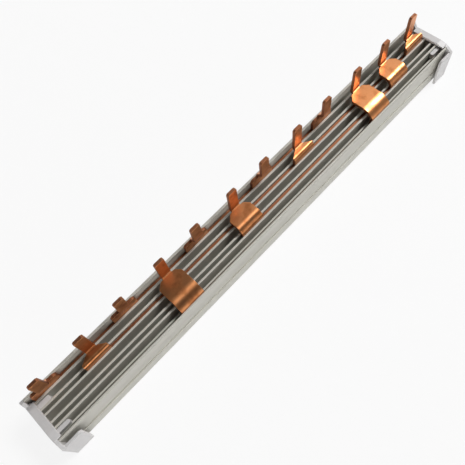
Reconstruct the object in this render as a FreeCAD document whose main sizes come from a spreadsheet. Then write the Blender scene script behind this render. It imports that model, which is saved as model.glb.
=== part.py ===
import FreeCAD, Part
import os
import Sketcher

# Comb busbar with four conductors and twelve pins: insulating profile, four copper combs, two end caps.
os.makedirs("parts", exist_ok=True)
doc = FreeCAD.newDocument("comb_busbar")

# Sizes in millimetres; the two angles are in degrees.
SIZES = {
    "pitch": 17.8, "end_gap": 0.5, "fit": 0.05, "overshoot": 1.0,
    "height": 15.5, "back_rise": 3.0, "foot_h": 1.5, "floor_t": 1.45,
    "front_t": 0.75, "low_wall_t": 0.75, "low_wall_drop": 3.0,
    "wall_t": 0.85, "rear_wall_t": 0.95, "back_t": 1.05,
    "band_front_w": 1.1, "band_mid_w": 2.5, "band_rear_w": 2.3,
    "skirt_t": 1.0, "ledge_out": 0.35, "groove_top": 6.0, "groove_h": 0.7, "groove_d": 0.25,
    "wall_round": 0.2,
    "copper_t": 1.3, "strip_drop": 1.0, "deep_drop": 4.4, "tab_w": 11.0, "pin_w": 4.2, "pin_rise": 14.6,
    "tip_cut": 0.6, "neutral_shift": 0.65, "pin_shift": 0.25,
    "flat_rise": 3.5, "foot_bend": 0.5, "short_bend": 0.2, "short_flat": 1.6,
    "short_shoulder": 0.5, "short_taper": 2.0, "short_round": 0.8,
    "long_shoulder": 1.2, "long_taper": 2.2, "long_round": 1.2, "medium_bend": 1.95,
    "slope_angle": 50, "slope_bend": 1.1, "slope_run": 0.4, "crest_bend": 5.2,
    "joggle_angle": 45, "joggle_start": 4.3, "shoulder_gap": 0.3, "shoulder_round": 1.5,
    "plate_t": 1.4, "wing_out": 2.6, "wing_t": 1.1, "wing_w": 8.4, "wing_drop": 1.6, "wing_slant": 1.0,
    "wing_round": 1.6, "lip_w": 3.1, "lip_t": 1.05, "lip_front": 0.9,
    "tongue_len": 7.8, "tongue_drop": 0.6, "tongue_lift": 3.45, "tongue_fit": 0.12,
    "tongue_round": 0.7, "plug_len": 2.2,
}
sheet = doc.addObject("Spreadsheet::Sheet", "sizes")
for row, (alias, size) in enumerate(SIZES.items(), start=1):
    sheet.set("A%d" % row, alias)
    sheet.set("B%d" % row, str(size))
    sheet.setAlias("B%d" % row, alias)
doc.recompute()

# The order in which the twelve pins, counted from the left, belong to the neutral and the three phases.
ORDER = ["n", "l1", "n", "l3", "n", "l2", "n", "l1", "n", "l3", "l2", "l1"]
N_PINS = [place for place, comb in enumerate(ORDER) if comb == "n"]
L1_PINS = [place for place, comb in enumerate(ORDER) if comb == "l1"]
L2_PINS = [place for place, comb in enumerate(ORDER) if comb == "l2"]
L3_PINS = [place for place, comb in enumerate(ORDER) if comb == "l3"]
LAST = len(ORDER) - 1

# Lengthwise layout: x runs from the outer face of the left cap, y back from the front face, z up.
FIRST_X = "(sizes.lip_w + sizes.end_gap + sizes.tab_w / 2 + sizes.neutral_shift)"
TOTAL = "(%d * sizes.pitch + 2 * %s)" % (LAST, FIRST_X)
SLOT_W = " + sizes.copper_t + 2 * sizes.fit"
Y_SLOT3 = "sizes.front_t"
Y_LOW = Y_SLOT3 + SLOT_W
Y_BAND3 = Y_LOW + " + sizes.low_wall_t"
Y_WALL_E = Y_BAND3 + " + sizes.band_front_w"
Y_SLOT2 = Y_WALL_E + " + sizes.wall_t"
Y_WALL_D = Y_SLOT2 + SLOT_W
Y_BAND2 = Y_WALL_D + " + sizes.wall_t"
Y_WALL_C = Y_BAND2 + " + sizes.band_mid_w"
Y_SLOT1 = Y_WALL_C + " + sizes.wall_t"
Y_WALL_B = Y_SLOT1 + SLOT_W
Y_BAND1 = Y_WALL_B + " + sizes.wall_t"
Y_WALL_A = Y_BAND1 + " + sizes.band_rear_w"
Y_SLOT_N = Y_WALL_A + " + sizes.rear_wall_t"
Y_BACK = Y_SLOT_N + SLOT_W
DEPTH = Y_BACK + " + sizes.back_t"
TOP = "sizes.height"
TIP = "sizes.height + sizes.pin_rise"
FLOOR = "sizes.foot_h + sizes.floor_t"
LOW_TOP = "sizes.height - sizes.low_wall_drop"
BACK_TOP = "sizes.height + sizes.back_rise"
STRIP_LOW = FLOOR + " + sizes.fit"
STRIP_TOP = "sizes.height - sizes.strip_drop"
DEEP_TOP = "sizes.height - sizes.deep_drop"
FLAT_TOP = "sizes.height + sizes.flat_rise"
FLAT_UNDER = FLAT_TOP + " - sizes.copper_t"

# Each copper strip stands in its slot with the named clearance; the pins form one row.
L1_FRONT = Y_SLOT1 + " + sizes.fit"
L2_FRONT = Y_SLOT2 + " + sizes.fit"
L3_FRONT = Y_SLOT3 + " + sizes.fit"
N_FRONT = Y_SLOT_N + " + sizes.fit"
FLAT_END = L1_FRONT + " + sizes.copper_t + sizes.short_bend + sizes.short_flat"
PIN_FRONT = FLAT_END + " + sizes.foot_bend"
PIN_BACK = PIN_FRONT + " + sizes.copper_t"


def value(expression):
    """The number that an expression on the sheet gives now."""
    return float(sheet.evalExpression(expression))


def new_body(name):
    """A body whose own frame starts at the left end, the front face and the underside."""
    body = doc.addObject("PartDesign::Body", name)
    body.Label = name
    body.setExpression(".Placement.Base.x", "-" + TOTAL + " / 2")
    body.setExpression(".Placement.Base.y", "-(" + DEPTH + " - sizes.wing_out) / 2")
    return body


def new_sketch(body, role, name, offset=None):
    """A sketch on one of the body's own origin planes, moved along its normal if asked."""
    plane = [item for item in body.Origin.OriginFeatures if item.Role == role][0]
    sketch = body.newObject("Sketcher::SketchObject", name)
    sketch.AttachmentSupport = (plane, [""])
    sketch.MapMode = "FlatFace"
    if offset is not None:
        sketch.setExpression(".AttachmentOffset.Base.z", offset)
    return sketch


def outline(sketch, points):
    """A closed outline; every corner is held by two dimensions bound to the sheet."""
    corners = [FreeCAD.Vector(value(a), value(b), 0) for a, b in points]
    first = sketch.GeometryCount
    count = len(corners)
    for index in range(count):
        sketch.addGeometry(Part.LineSegment(corners[index], corners[(index + 1) % count]), False)
    for index in range(count):
        after = first + (index + 1) % count
        sketch.addConstraint(Sketcher.Constraint("Coincident", first + index, 2, after, 1))
    for index, (a, b) in enumerate(points):
        for kind, expression in (("DistanceX", a), ("DistanceY", b)):
            number = sketch.addConstraint(Sketcher.Constraint(kind, first + index, 1, value(expression)))
            sketch.setExpression("Constraints[%d]" % number, expression)


def rectangle(sketch, left, right, low, high):
    """A rectangle between two pairs of coordinates."""
    outline(sketch, [(left, low), (right, low), (right, high), (left, high)])


def pad(body, sketch, length, name):
    """Material along the sketch's normal."""
    feature = body.newObject("PartDesign::Pad", name)
    feature.Profile = sketch
    feature.setExpression("Length", length)
    doc.recompute()
    return feature


def cut(body, sketch, length, name, reverse=False):
    """A pocket that has to take material away."""
    before = body.Tip.Shape.Volume
    feature = body.newObject("PartDesign::Pocket", name)
    feature.Profile = sketch
    feature.setExpression("Length", length)
    feature.Reversed = reverse
    doc.recompute()
    assert feature.Shape.Volume < before, name
    return feature


def edges_at(shape, axis, spots):
    """Names of straight edges along an axis that pass through the given pairs of coordinates."""
    others = [index for index in range(3) if index != axis]
    names = []
    for number, edge in enumerate(shape.Edges, start=1):
        if len(edge.Vertexes) != 2 or edge.Curve.TypeId != "Part::GeomLine":
            continue
        start, end = edge.Vertexes[0].Point, edge.Vertexes[1].Point
        if any(abs(start[index] - end[index]) > 1e-6 for index in others):
            continue
        for spot in spots:
            if all(abs(start[index] - spot[place]) < 1e-4 for place, index in enumerate(others)):
                names.append("Edge%d" % number)
                break
    return names


def soften(body, kind, axis, spots, size, name):
    """A fillet or chamfer on edges found by their place."""
    base = body.Tip
    pairs = [(value(a), value(b)) for a, b in spots]
    names = edges_at(base.Shape, axis, pairs)
    assert len(names) >= len(pairs), name
    feature = body.newObject("PartDesign::" + kind, name)
    feature.Base = (base, names)
    feature.setExpression("Radius" if kind == "Fillet" else "Size", size)
    doc.recompute()
    return feature


def both_sides(places, shift, width):
    """The two edges of a tab or pin at each place along the busbar."""
    return [pin_x(place, shift) + side + width + " / 2" for place in places for side in (" - ", " + ")]


def pin_x(place, shift=""):
    """Centre of a tab or pin along the busbar, with its sideways set."""
    return FIRST_X + " + %d * sizes.pitch" % place + shift


# The insulating profile is one extrusion: a floor with upright walls, four slots and three hollow bands.
profile = new_body("profile")
section = new_sketch(profile, "YZ_Plane", "profile_section", "sizes.plate_t + sizes.fit")
outline(section, [
    ("-sizes.ledge_out", "0"), ("sizes.skirt_t", "0"), ("sizes.skirt_t", "sizes.foot_h"),
    (Y_BACK, "sizes.foot_h"), (Y_BACK, "0"), (DEPTH, "0"), (DEPTH, BACK_TOP), (Y_BACK, BACK_TOP),
    (Y_BACK, FLOOR), (Y_SLOT_N, FLOOR), (Y_SLOT_N, TOP), (Y_WALL_A, TOP), (Y_WALL_A, FLOOR),
    (Y_BAND1, FLOOR), (Y_BAND1, TOP), (Y_WALL_B, TOP), (Y_WALL_B, FLOOR), (Y_SLOT1, FLOOR),
    (Y_SLOT1, TOP), (Y_WALL_C, TOP), (Y_WALL_C, FLOOR), (Y_BAND2, FLOOR), (Y_BAND2, TOP),
    (Y_WALL_D, TOP), (Y_WALL_D, FLOOR), (Y_SLOT2, FLOOR), (Y_SLOT2, TOP), (Y_WALL_E, TOP),
    (Y_WALL_E, FLOOR), (Y_BAND3, FLOOR), (Y_BAND3, LOW_TOP), (Y_LOW, LOW_TOP), (Y_LOW, FLOOR),
    (Y_SLOT3, FLOOR), (Y_SLOT3, TOP), ("0", TOP), ("0", "sizes.groove_top"),
    ("sizes.groove_d", "sizes.groove_top"), ("sizes.groove_d", "sizes.groove_top - sizes.groove_h"),
    ("-sizes.ledge_out", "sizes.groove_top - sizes.groove_h"),
])
pad(profile, section, TOTAL + " - 2 * sizes.plate_t - 2 * sizes.fit", "profile_pad")
soften(profile, "Fillet", 0, [
    (DEPTH, BACK_TOP), (Y_BACK, BACK_TOP), (Y_SLOT_N, TOP), (Y_WALL_A, TOP), (Y_BAND1, TOP), (Y_WALL_B, TOP),
    (Y_SLOT1, TOP), (Y_WALL_C, TOP), (Y_BAND2, TOP), (Y_WALL_D, TOP), (Y_SLOT2, TOP), (Y_WALL_E, TOP),
    (Y_BAND3, LOW_TOP), (Y_LOW, LOW_TOP), (Y_SLOT3, TOP), ("0", TOP),
], "sizes.wall_round", "profile_round")


def comb_blank(name, places, shift, corners):
    """The bent section of a comb, drawn out from the edge of its first tab to that of its last."""
    body = new_body(name)
    sketch = new_sketch(body, "YZ_Plane", name + "_section", pin_x(places[0], shift) + " - sizes.tab_w / 2")
    outline(sketch, corners)
    pad(body, sketch, "%d * sizes.pitch + sizes.tab_w" % (places[-1] - places[0]), name + "_pad")
    return body


def part_tabs(body, places, shift, strip_top, name):
    """Front-view cuts down to the strip, so that only the tabs stand above it."""
    sketch = new_sketch(body, "XZ_Plane", name + "_gaps")
    for left, right in zip(places, places[1:]):
        start = pin_x(left, shift) + " + sizes.tab_w / 2"
        end = pin_x(right, shift) + " - sizes.tab_w / 2"
        rectangle(sketch, start, end, strip_top, TIP + " + sizes.overshoot")
    cut(body, sketch, DEPTH + " + sizes.overshoot", name + "_part_tabs")


# Neutral comb: upright tabs in the rear slot, each pin set forward over the wall by a joggle.
N_SHIFT = " - sizes.neutral_shift"
N_PIN_SHIFT = N_SHIFT + " + sizes.pin_shift"
N_BACK = N_FRONT + " + sizes.copper_t"
JOGGLE = "sizes.height + sizes.joggle_start"
JOGGLE_END = JOGGLE + " + (" + N_FRONT + " - (" + PIN_FRONT + ")) / tan(sizes.joggle_angle)"
MITRE = " + sizes.copper_t * tan(sizes.joggle_angle / 2)"
N_SHOULDER = JOGGLE + " - sizes.shoulder_gap"
comb_n = comb_blank("comb_n", N_PINS, N_SHIFT, [
    (N_FRONT, STRIP_LOW), (N_BACK, STRIP_LOW), (N_BACK, JOGGLE + MITRE), (PIN_BACK, JOGGLE_END + MITRE),
    (PIN_BACK, TIP), (PIN_FRONT, TIP), (PIN_FRONT, JOGGLE_END), (N_FRONT, JOGGLE),
])
soften(comb_n, "Fillet", 0, [(N_BACK, JOGGLE + MITRE), (PIN_FRONT, JOGGLE_END)],
       "sizes.foot_bend + sizes.copper_t", "comb_n_outer_bend")
soften(comb_n, "Fillet", 0, [(N_FRONT, JOGGLE), (PIN_BACK, JOGGLE_END + MITRE)],
       "sizes.foot_bend", "comb_n_inner_bend")
part_tabs(comb_n, N_PINS, N_SHIFT, STRIP_TOP, "comb_n")
beside = new_sketch(comb_n, "XZ_Plane", "comb_n_beside_pins")
for place in N_PINS:
    for side in (" - ", " + "):
        pin_edge = pin_x(place, N_PIN_SHIFT) + side + "sizes.pin_w / 2"
        beyond = pin_x(place, N_SHIFT) + side + "(sizes.tab_w / 2 + sizes.overshoot)"
        rectangle(beside, pin_edge, beyond, N_SHOULDER, TIP + " + sizes.overshoot")
cut(comb_n, beside, DEPTH + " + sizes.overshoot", "comb_n_free_pins")
soften(comb_n, "Fillet", 1, [(edge, N_SHOULDER) for edge in both_sides(N_PINS, N_SHIFT, "sizes.tab_w")],
       "sizes.shoulder_round", "comb_n_shoulders")
soften(comb_n, "Chamfer", 1, [(edge, TIP) for edge in both_sides(N_PINS, N_PIN_SHIFT, "sizes.pin_w")],
       "sizes.tip_cut", "comb_n_tips")


def line_comb(name, places, front, bends, strip_top, kind, taper_rounds):
    """A phase comb: tabs rise from their slot, lie back over the walls and turn up into the pins."""
    outer = [spot_out for spot_out, spot_in, radius in bends]
    inner = [spot_in for spot_out, spot_in, radius in bends]
    rear = front + " + sizes.copper_t"
    foot_in = (PIN_FRONT, FLAT_TOP)
    foot_out = (PIN_BACK, FLAT_UNDER)
    body = comb_blank(name, places, "", [(front, STRIP_LOW)] + outer + [
        foot_in, (PIN_FRONT, TIP), (PIN_BACK, TIP), foot_out] + inner[::-1] + [(rear, STRIP_LOW)])
    for number, (spot_out, spot_in, radius) in enumerate(bends, start=1):
        bend = "%s_bend_%d" % (name, number)
        soften(body, "Fillet", 0, [spot_out], radius + " + sizes.copper_t", bend + "_outer")
        soften(body, "Fillet", 0, [spot_in], radius, bend + "_inner")
    soften(body, "Fillet", 0, [foot_in], "sizes.foot_bend", name + "_foot_inner")
    soften(body, "Fillet", 0, [foot_out], "sizes.foot_bend + sizes.copper_t", name + "_foot_outer")
    part_tabs(body, places, "", strip_top, name)
    plan = new_sketch(body, "XY_Plane", name + "_plan", FLAT_UNDER + " - sizes.short_bend")
    taper_end = FLAT_END + " - sizes.%s_taper" % kind
    corners = []
    for place in places:
        for side in (" - ", " + "):
            pin_edge = pin_x(place, " + sizes.pin_shift") + side + "sizes.pin_w / 2"
            tab_edge = pin_x(place) + side + "sizes.tab_w / 2"
            shoulder = pin_edge + side + "sizes.%s_shoulder" % kind
            beyond = tab_edge + side + "sizes.overshoot"
            outline(plan, [
                (pin_edge, FLAT_END), (shoulder, FLAT_END), (tab_edge, taper_end), (beyond, taper_end),
                (beyond, PIN_BACK + " + sizes.overshoot"), (pin_edge, PIN_BACK + " + sizes.overshoot"),
            ])
            corners += [(shoulder, FLAT_END), (tab_edge, taper_end)][:taper_rounds]
    cut(body, plan, TIP, name + "_free_pins", True)
    soften(body, "Fillet", 2, corners, "sizes.%s_round" % kind, name + "_shoulders")
    pin_edges = both_sides(places, " + sizes.pin_shift", "sizes.pin_w")
    soften(body, "Chamfer", 1, [(edge, TIP) for edge in pin_edges], "sizes.tip_cut", name + "_tips")
    return body


# First phase, nearest to the pins: short tabs with one tight bend, tapered from the bend to the pin.
comb_l1 = line_comb("comb_l1", L1_PINS, L1_FRONT, [
    ((L1_FRONT, FLAT_TOP), (L1_FRONT + " + sizes.copper_t", FLAT_UNDER), "sizes.short_bend"),
], STRIP_TOP, "short", 1)

# Second phase: medium tabs with one wider bend and rounded, tapered shoulders.
comb_l2 = line_comb("comb_l2", L2_PINS, L2_FRONT, [
    ((L2_FRONT, FLAT_TOP), (L2_FRONT + " + sizes.copper_t", FLAT_UNDER), "sizes.medium_bend"),
], STRIP_TOP, "long", 2)

# Third phase, beside the front wall: long tabs that slope up to a crest before they lie flat; a low strip.
SLOPE_HALF = "tan(sizes.slope_angle / 2)"
CREST_HALF = "tan((90 - sizes.slope_angle) / 2)"
SLANT = ("((sizes.slope_bend + sizes.copper_t) * " + SLOPE_HALF + " + (sizes.crest_bend + sizes.copper_t) * "
         + CREST_HALF + " + sizes.slope_run)")
SLOPE_Z = FLAT_TOP + " - " + SLANT + " * cos(sizes.slope_angle)"
CREST_Y = L3_FRONT + " + " + SLANT + " * sin(sizes.slope_angle)"
comb_l3 = line_comb("comb_l3", L3_PINS, L3_FRONT, [
    ((L3_FRONT, SLOPE_Z), (L3_FRONT + " + sizes.copper_t", SLOPE_Z + " - sizes.copper_t * " + SLOPE_HALF),
     "sizes.slope_bend"),
    ((CREST_Y, FLAT_TOP), (CREST_Y + " + sizes.copper_t * " + CREST_HALF, FLAT_UNDER), "sizes.crest_bend"),
], DEEP_TOP, "long", 2)

# Left end cap: end plate, lip over the wall ends, two tongues, a plug and the wing in front.
cap_left = new_body("cap_left")
WING_FACE = "-sizes.wing_out"
WING_TOP = "sizes.height - sizes.wing_drop"
LIP_TOP = "sizes.height + sizes.lip_t"
LIP_UNDER = "sizes.height + sizes.fit"
TONGUE_TOP = "sizes.height - sizes.tongue_drop"
TONGUE_LOW = FLOOR + " + sizes.tongue_lift"
plate = new_sketch(cap_left, "YZ_Plane", "plate_outline")
outline(plate, [
    (WING_FACE, "0"), (DEPTH, "0"), (DEPTH, BACK_TOP), (Y_BACK, BACK_TOP), (Y_SLOT_N, LIP_TOP),
    (Y_WALL_E, LIP_TOP), ("0", TOP), (WING_FACE, WING_TOP),
])
pad(cap_left, plate, "sizes.plate_t", "plate_pad")
lip = new_sketch(cap_left, "YZ_Plane", "lip_outline")
outline(lip, [
    ("sizes.lip_front", LIP_UNDER), (Y_SLOT_N + " - sizes.fit", LIP_UNDER),
    (Y_SLOT_N + " - sizes.fit", LIP_TOP), (Y_WALL_E, LIP_TOP),
    ("sizes.lip_front", "sizes.height + sizes.lip_t / 2"),
])
pad(cap_left, lip, "sizes.lip_w", "lip_pad")
REAR_TONGUE = (Y_BAND1 + " + sizes.tongue_fit", Y_WALL_A + " - sizes.tongue_fit")
LOW_TONGUE = (Y_LOW + " + sizes.tongue_fit", Y_WALL_E + " - sizes.tongue_fit")
tongues = new_sketch(cap_left, "YZ_Plane", "tongue_outlines")
rectangle(tongues, REAR_TONGUE[0], REAR_TONGUE[1], TONGUE_LOW, TONGUE_TOP)
rectangle(tongues, LOW_TONGUE[0], LOW_TONGUE[1], LOW_TOP + " + sizes.tongue_fit", TONGUE_TOP)
pad(cap_left, tongues, "sizes.tongue_len", "tongue_pad")
plug = new_sketch(cap_left, "YZ_Plane", "plug_outline")
rectangle(plug, Y_SLOT_N + " + sizes.tongue_fit", Y_BACK + " - sizes.tongue_fit", TONGUE_LOW, TONGUE_TOP)
pad(cap_left, plug, "sizes.plug_len", "plug_pad")
wing = new_sketch(cap_left, "XZ_Plane", "wing_outline", "sizes.wing_out - sizes.wing_t")
outline(wing, [
    ("0", "0"), ("sizes.wing_w - sizes.wing_slant", "0"), ("sizes.wing_w", WING_TOP), ("0", WING_TOP),
])
pad(cap_left, wing, "sizes.wing_t", "wing_pad")
soften(cap_left, "Fillet", 1, [("sizes.wing_w", WING_TOP)], "sizes.wing_round", "wing_corner")
soften(cap_left, "Fillet", 2, [("sizes.tongue_len", side) for side in REAR_TONGUE + LOW_TONGUE],
       "sizes.tongue_round", "tongue_tips")

# Right end cap: the mirror image of the left one.
cap_right = doc.addObject("Part::Mirroring", "cap_right")
cap_right.Label = "cap_right"
cap_right.Source = cap_left
cap_right.Normal = (1, 0, 0)
cap_right.Base = (0, 0, 0)
doc.recompute()

# Every feature has to be sound before the seven pieces are written out.
NODES = [profile, comb_n, comb_l1, comb_l2, comb_l3, cap_left, cap_right]
for item in doc.Objects:
    assert "Invalid" not in item.State and "Error" not in item.State, item.Name
for node in NODES:
    shape = node.Shape
    assert shape.isValid() and len(shape.Solids) == 1, node.Label
    shape.exportStep("parts/%s.step" % node.Label)
    box = shape.BoundBox
    print(node.Label, round(shape.Volume, 2), [round(number, 2) for number in
          (box.XMin, box.XMax, box.YMin, box.YMax, box.ZMin, box.ZMax)])
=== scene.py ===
import math
import bmesh
import bpy
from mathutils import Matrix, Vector


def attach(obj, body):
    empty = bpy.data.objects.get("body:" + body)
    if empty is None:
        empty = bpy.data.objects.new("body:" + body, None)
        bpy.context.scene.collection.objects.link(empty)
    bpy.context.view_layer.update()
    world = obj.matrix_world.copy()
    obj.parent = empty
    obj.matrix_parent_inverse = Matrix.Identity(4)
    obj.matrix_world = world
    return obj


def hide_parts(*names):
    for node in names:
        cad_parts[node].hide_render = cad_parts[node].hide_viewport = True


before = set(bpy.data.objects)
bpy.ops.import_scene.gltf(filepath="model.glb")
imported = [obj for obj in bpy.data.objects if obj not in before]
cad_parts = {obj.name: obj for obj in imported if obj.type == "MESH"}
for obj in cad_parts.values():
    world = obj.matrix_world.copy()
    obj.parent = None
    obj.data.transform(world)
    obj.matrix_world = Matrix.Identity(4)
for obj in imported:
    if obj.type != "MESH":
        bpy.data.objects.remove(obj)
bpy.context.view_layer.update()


# Insulating profile
# One length of extruded rigid PVC, warm light grey and matt, with faint lines from the die along it.
# The copper combs and the end caps are pushed into it, so nothing else holds it together.
merge_distance = 1e-6
flat_angle = math.radians(0.5)
sharp_angle = math.radians(30)


def eased_copy(node, width):
    """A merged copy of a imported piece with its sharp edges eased, shown in that piece's place."""
    shape = bmesh.new()
    shape.from_mesh(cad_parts[node].data)
    bmesh.ops.remove_doubles(shape, verts=shape.verts, dist=merge_distance)
    bmesh.ops.dissolve_limit(shape, angle_limit=flat_angle, verts=shape.verts, edges=shape.edges)
    mesh = bpy.data.meshes.new(node + "_shown")
    shape.to_mesh(mesh)
    shape.free()
    mesh.shade_smooth()
    mesh.set_sharp_from_angle(angle=sharp_angle)
    piece = bpy.data.objects.new(node + "_shown", mesh)
    bpy.context.scene.collection.objects.link(piece)
    ease = piece.modifiers.new("eased_edges", "BEVEL")
    ease.width = width
    ease.segments = 2
    ease.limit_method = "ANGLE"
    ease.angle_limit = sharp_angle
    ease.use_clamp_overlap = False
    ease.harden_normals = True
    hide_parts(node)
    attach(piece, "root")
    return piece


def node_material(name):
    """A new node material, with the nodes, links and shader that its finish is built from."""
    made = bpy.data.materials.new(name)
    made.use_nodes = True
    return made, made.node_tree.nodes, made.node_tree.links, made.node_tree.nodes["Principled BSDF"]


def surface_noise(nodes, links, scale, detail, stretch=(1, 1, 1)):
    """Noise on Object coordinates; a stretch below 1 draws it out along that axis."""
    place = nodes.new("ShaderNodeTexCoord")
    mapping = nodes.new("ShaderNodeMapping")
    mapping.inputs["Scale"].default_value = stretch
    noise = nodes.new("ShaderNodeTexNoise")
    noise.inputs["Scale"].default_value = scale
    noise.inputs["Detail"].default_value = detail
    links.new(place.outputs["Object"], mapping.inputs["Vector"])
    links.new(mapping.outputs["Vector"], noise.inputs["Vector"])
    return noise.outputs["Fac"]


def ramp(nodes, links, source, stops):
    """A colour ramp fed by a value."""
    made = nodes.new("ShaderNodeValToRGB")
    while len(made.color_ramp.elements) < len(stops):
        made.color_ramp.elements.new(0.5)
    for element, (position, color) in zip(made.color_ramp.elements, stops):
        element.position = position
        element.color = (*color, 1)
    links.new(source, made.inputs["Fac"])
    return made.outputs["Color"]


def spread(nodes, links, source, low, high, start=0.3, end=0.7):
    """A value that goes from low to high while its source goes from start to end."""
    made = nodes.new("ShaderNodeMapRange")
    made.inputs["From Min"].default_value = start
    made.inputs["From Max"].default_value = end
    made.inputs["To Min"].default_value = low
    made.inputs["To Max"].default_value = high
    links.new(source, made.inputs["Value"])
    return made.outputs["Result"]


def relief(nodes, links, shader, height, depth, strength):
    """Fine relief under the finish."""
    bump = nodes.new("ShaderNodeBump")
    bump.inputs["Strength"].default_value = strength
    bump.inputs["Distance"].default_value = depth
    links.new(height, bump.inputs["Height"])
    links.new(bump.outputs["Normal"], shader.inputs["Normal"])


pvc_grey = (0.57, 0.553, 0.493)
pvc_pale_grey = (0.61, 0.593, 0.533)
pvc, nodes, links, shader = node_material("grey_pvc")
die_lines = surface_noise(nodes, links, scale=2200, detail=3, stretch=(0.01, 1, 1))
clouding = surface_noise(nodes, links, scale=120, detail=4, stretch=(0.15, 1, 1))
color = ramp(nodes, links, clouding, [(0.3, pvc_grey), (0.7, pvc_pale_grey)])
links.new(color, shader.inputs["Base Color"])
links.new(spread(nodes, links, die_lines, low=0.40, high=0.52), shader.inputs["Roughness"])
relief(nodes, links, shader, die_lines, depth=0.00001, strength=0.2)
profile = eased_copy("profile", width=0.0001)
profile.data.materials.append(pvc)

# Copper combs
# Each comb is punched from bare rolled copper strip and bent, and is held by the slot it is pushed into.
# The rolled faces are satin, with lines along the strip and a little tarnish. The sheared edges, tops and
# tips are finely scored through the thickness, and their darker colour is painted shade.
tarnished_copper = (0.46, 0.165, 0.06)
handled_copper = (0.68, 0.28, 0.112)
bright_copper = (0.75, 0.33, 0.145)
rolled, nodes, links, shader = node_material("rolled_copper")
roll_lines = surface_noise(nodes, links, scale=5000, detail=2, stretch=(0.03, 1, 1))
tarnish = surface_noise(nodes, links, scale=260, detail=5)
color = ramp(nodes, links, tarnish, [(0.32, tarnished_copper), (0.48, handled_copper), (0.7, bright_copper)])
links.new(color, shader.inputs["Base Color"])
shader.inputs["Metallic"].default_value = 1
links.new(spread(nodes, links, tarnish, low=0.36, high=0.28), shader.inputs["Roughness"])
relief(nodes, links, shader, roll_lines, depth=0.00001, strength=0.3)

# Painted shade: the sheared copper is coloured far darker than the rolled copper, standing in for the shade
# on the cut tops down in the slots and on the tips.
torn_copper_painted_shade = (0.26, 0.10, 0.05)
burnished_copper_painted_shade = (0.36, 0.155, 0.08)
sheared_with_painted_shade, nodes, links, shader = node_material("sheared_copper_painted_shade")
score_lines = surface_noise(nodes, links, scale=4200, detail=2, stretch=(1, 0.25, 1))
color = ramp(nodes, links, score_lines, [(0.3, torn_copper_painted_shade), (0.7, burnished_copper_painted_shade)])
links.new(color, shader.inputs["Base Color"])
shader.inputs["Metallic"].default_value = 1
links.new(spread(nodes, links, score_lines, low=0.48, high=0.6), shader.inputs["Roughness"])
relief(nodes, links, shader, score_lines, depth=0.00002, strength=0.35)

# A face is sheared where it looks along the strip, or up, or back from a tab's shoulder, and takes the
# painted shade. The tops of the tabs that lie level over the walls look up too, but are rolled. The
# neutral's comb has no such tabs.
level_low, level_high = 0.015, 0.025
shoulder_low, shoulder_high = 0.0175, 0.0208
facing = 0.9
leaning = 0.05
painted_shade_slot = 1
for node in ("comb_n", "comb_l1", "comb_l2", "comb_l3"):
    comb = eased_copy(node, width=0.00013)
    comb.data.materials.append(rolled)
    comb.data.materials.append(sheared_with_painted_shade)
    has_level_tabs = node != "comb_n"
    for face in comb.data.polygons:
        height = face.center.z
        level_tab = has_level_tabs and level_low < height < level_high
        shoulder = has_level_tabs and shoulder_low < height < shoulder_high
        sheared_end = abs(face.normal.x) > leaning
        sheared_top = face.normal.z > facing and not level_tab
        sheared_back = face.normal.y > facing and shoulder
        if sheared_end or sheared_top or sheared_back:
            face.material_index = painted_shade_slot

# End caps
# Moulded plastic, a little paler, cooler and smoother than the profile. Each is pushed onto one end: its
# lip covers the wall ends, and its tongues and plug hold it in the channels.
cap_grey = (0.67, 0.655, 0.65)
cap_pale_grey = (0.71, 0.695, 0.69)
cap_plastic, nodes, links, shader = node_material("cap_plastic")
speckle = surface_noise(nodes, links, scale=900, detail=3)
grain = surface_noise(nodes, links, scale=6000, detail=2)
color = ramp(nodes, links, speckle, [(0.3, cap_grey), (0.7, cap_pale_grey)])
links.new(color, shader.inputs["Base Color"])
links.new(spread(nodes, links, speckle, low=0.32, high=0.42), shader.inputs["Roughness"])
relief(nodes, links, shader, grain, depth=0.00001, strength=0.3)
for node in ("cap_left", "cap_right"):
    cap = eased_copy(node, width=0.00018)
    cap.data.materials.append(cap_plastic)

# Studio
# A round white floor that curves up into a low white wall, and four soft lamps: the key up on the right,
# a broad weak one beside it, a small one overhead and a long low one at the left front. The floor lies a
# hair below the busbar's base, so that the two don't share a plane.
floor_radius = 2
cove_radius = 1
cove_steps = 12
wall_top = 1.8
floor_gap = 0.0002
outline = [(0, 0)]
for step in range(cove_steps + 1):
    turn = math.radians(90 * step / cove_steps)
    outline.append((floor_radius + cove_radius * math.sin(turn), cove_radius * (1 - math.cos(turn))))
outline.append((floor_radius + cove_radius, wall_top))
shape = bmesh.new()
corners = [shape.verts.new((radius, 0, height - floor_gap)) for radius, height in outline]
for start, end in zip(corners, corners[1:]):
    shape.edges.new((start, end))
bmesh.ops.spin(shape, geom=shape.verts[:] + shape.edges[:], cent=(0, 0, 0), axis=(0, 0, 1), angle=math.tau,
               steps=96, use_merge=True)
bmesh.ops.remove_doubles(shape, verts=shape.verts, dist=1e-5)
bmesh.ops.recalc_face_normals(shape, faces=shape.faces)
mesh = bpy.data.meshes.new("floor")
shape.to_mesh(mesh)
shape.free()
mesh.shade_smooth()
floor = bpy.data.objects.new("floor", mesh)
bpy.context.scene.collection.objects.link(floor)


def joined(nodes, links, operation, first, second):
    """One value worked out from two."""
    made = nodes.new("ShaderNodeMath")
    made.operation = operation
    links.new(first, made.inputs[0])
    links.new(second, made.inputs[1])
    return made.outputs["Value"]


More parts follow.
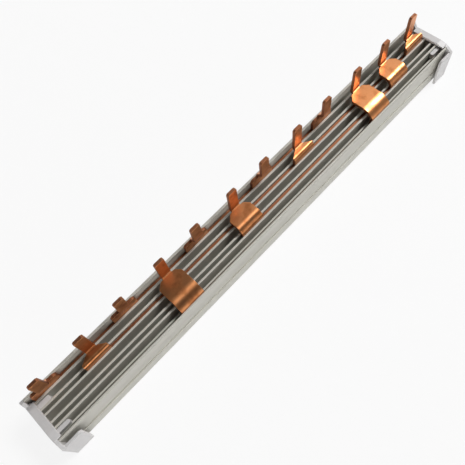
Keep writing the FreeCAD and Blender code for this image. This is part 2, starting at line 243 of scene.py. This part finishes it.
# Seen directly, in gloss or through glass, the paper is nearly pure white, and greyer up the wall. It lights
# the busbar as plain paper does, and keeps its shadow.
paper, nodes, links, shader = node_material("white_paper")
shader.inputs["Base Color"].default_value = (0.9, 0.9, 0.9, 1)
shader.inputs["Roughness"].default_value = 1
shader.inputs["Specular IOR Level"].default_value = 0
glow = nodes.new("ShaderNodeEmission")
glow.inputs["Strength"].default_value = 1
rays = nodes.new("ShaderNodeLightPath")
seen = joined(nodes, links, "MAXIMUM", rays.outputs["Is Camera Ray"], rays.outputs["Is Glossy Ray"])
seen = joined(nodes, links, "MAXIMUM", seen, rays.outputs["Is Transmission Ray"])
place = nodes.new("ShaderNodeTexCoord")
level = nodes.new("ShaderNodeSeparateXYZ")
links.new(place.outputs["Object"], level.inputs["Vector"])
fall = spread(nodes, links, level.outputs["Z"], low=0.87, high=0.25, start=0, end=1)
share = joined(nodes, links, "MULTIPLY", seen, fall)
mix = nodes.new("ShaderNodeMixShader")
links.new(share, mix.inputs["Fac"])
links.new(shader.outputs["BSDF"], mix.inputs[1])
links.new(glow.outputs["Emission"], mix.inputs[2])
links.new(mix.outputs["Shader"], nodes["Material Output"].inputs["Surface"])
floor.data.materials.append(paper)

world = bpy.data.worlds.new("studio")
world.use_nodes = True
world.node_tree.nodes["Background"].inputs["Color"].default_value = (1, 1, 1, 1)
world.node_tree.nodes["Background"].inputs["Strength"].default_value = 0.03
bpy.context.scene.world = world


def softbox(name, place, across, along, power):
    """A soft lamp that looks at the busbar."""
    lamp = bpy.data.lights.new(name, "AREA")
    lamp.shape = "RECTANGLE"
    lamp.size = across
    lamp.size_y = along
    lamp.energy = power
    stand = bpy.data.objects.new(name, lamp)
    bpy.context.scene.collection.objects.link(stand)
    stand.location = place
    stand.rotation_euler = (-Vector(place)).to_track_quat("-Z", "Y").to_euler()


softbox("key", place=(1.0, -0.2, 1.37), across=0.56, along=0.44, power=19.5)
softbox("side", place=(0.9, 0.45, 1.2), across=1.1, along=1.1, power=2.2)
softbox("top", place=(0.15, -0.2, 1.2), across=0.5, along=0.4, power=0.9)
softbox("front", place=(-0.85, -1.0, 0.1), across=1.4, along=0.18, power=6.8)

# The camera looks down from above the left front of the busbar, turned and leant as in the photograph.
camera = bpy.data.cameras.new("camera")
camera.sensor_width = 36
camera.lens = 40.151
camera.clip_start = 0.01
camera.clip_end = 20
shot = bpy.data.objects.new("camera", camera)
bpy.context.scene.collection.objects.link(shot)
shot.location = (-0.0632385, -0.0663348, 0.1889227)
shot.rotation_euler = (math.radians(24.91312), math.radians(5.310487), math.radians(-46.346703))
bpy.context.scene.camera = shot

bpy.context.scene.view_settings.view_transform = "Standard"
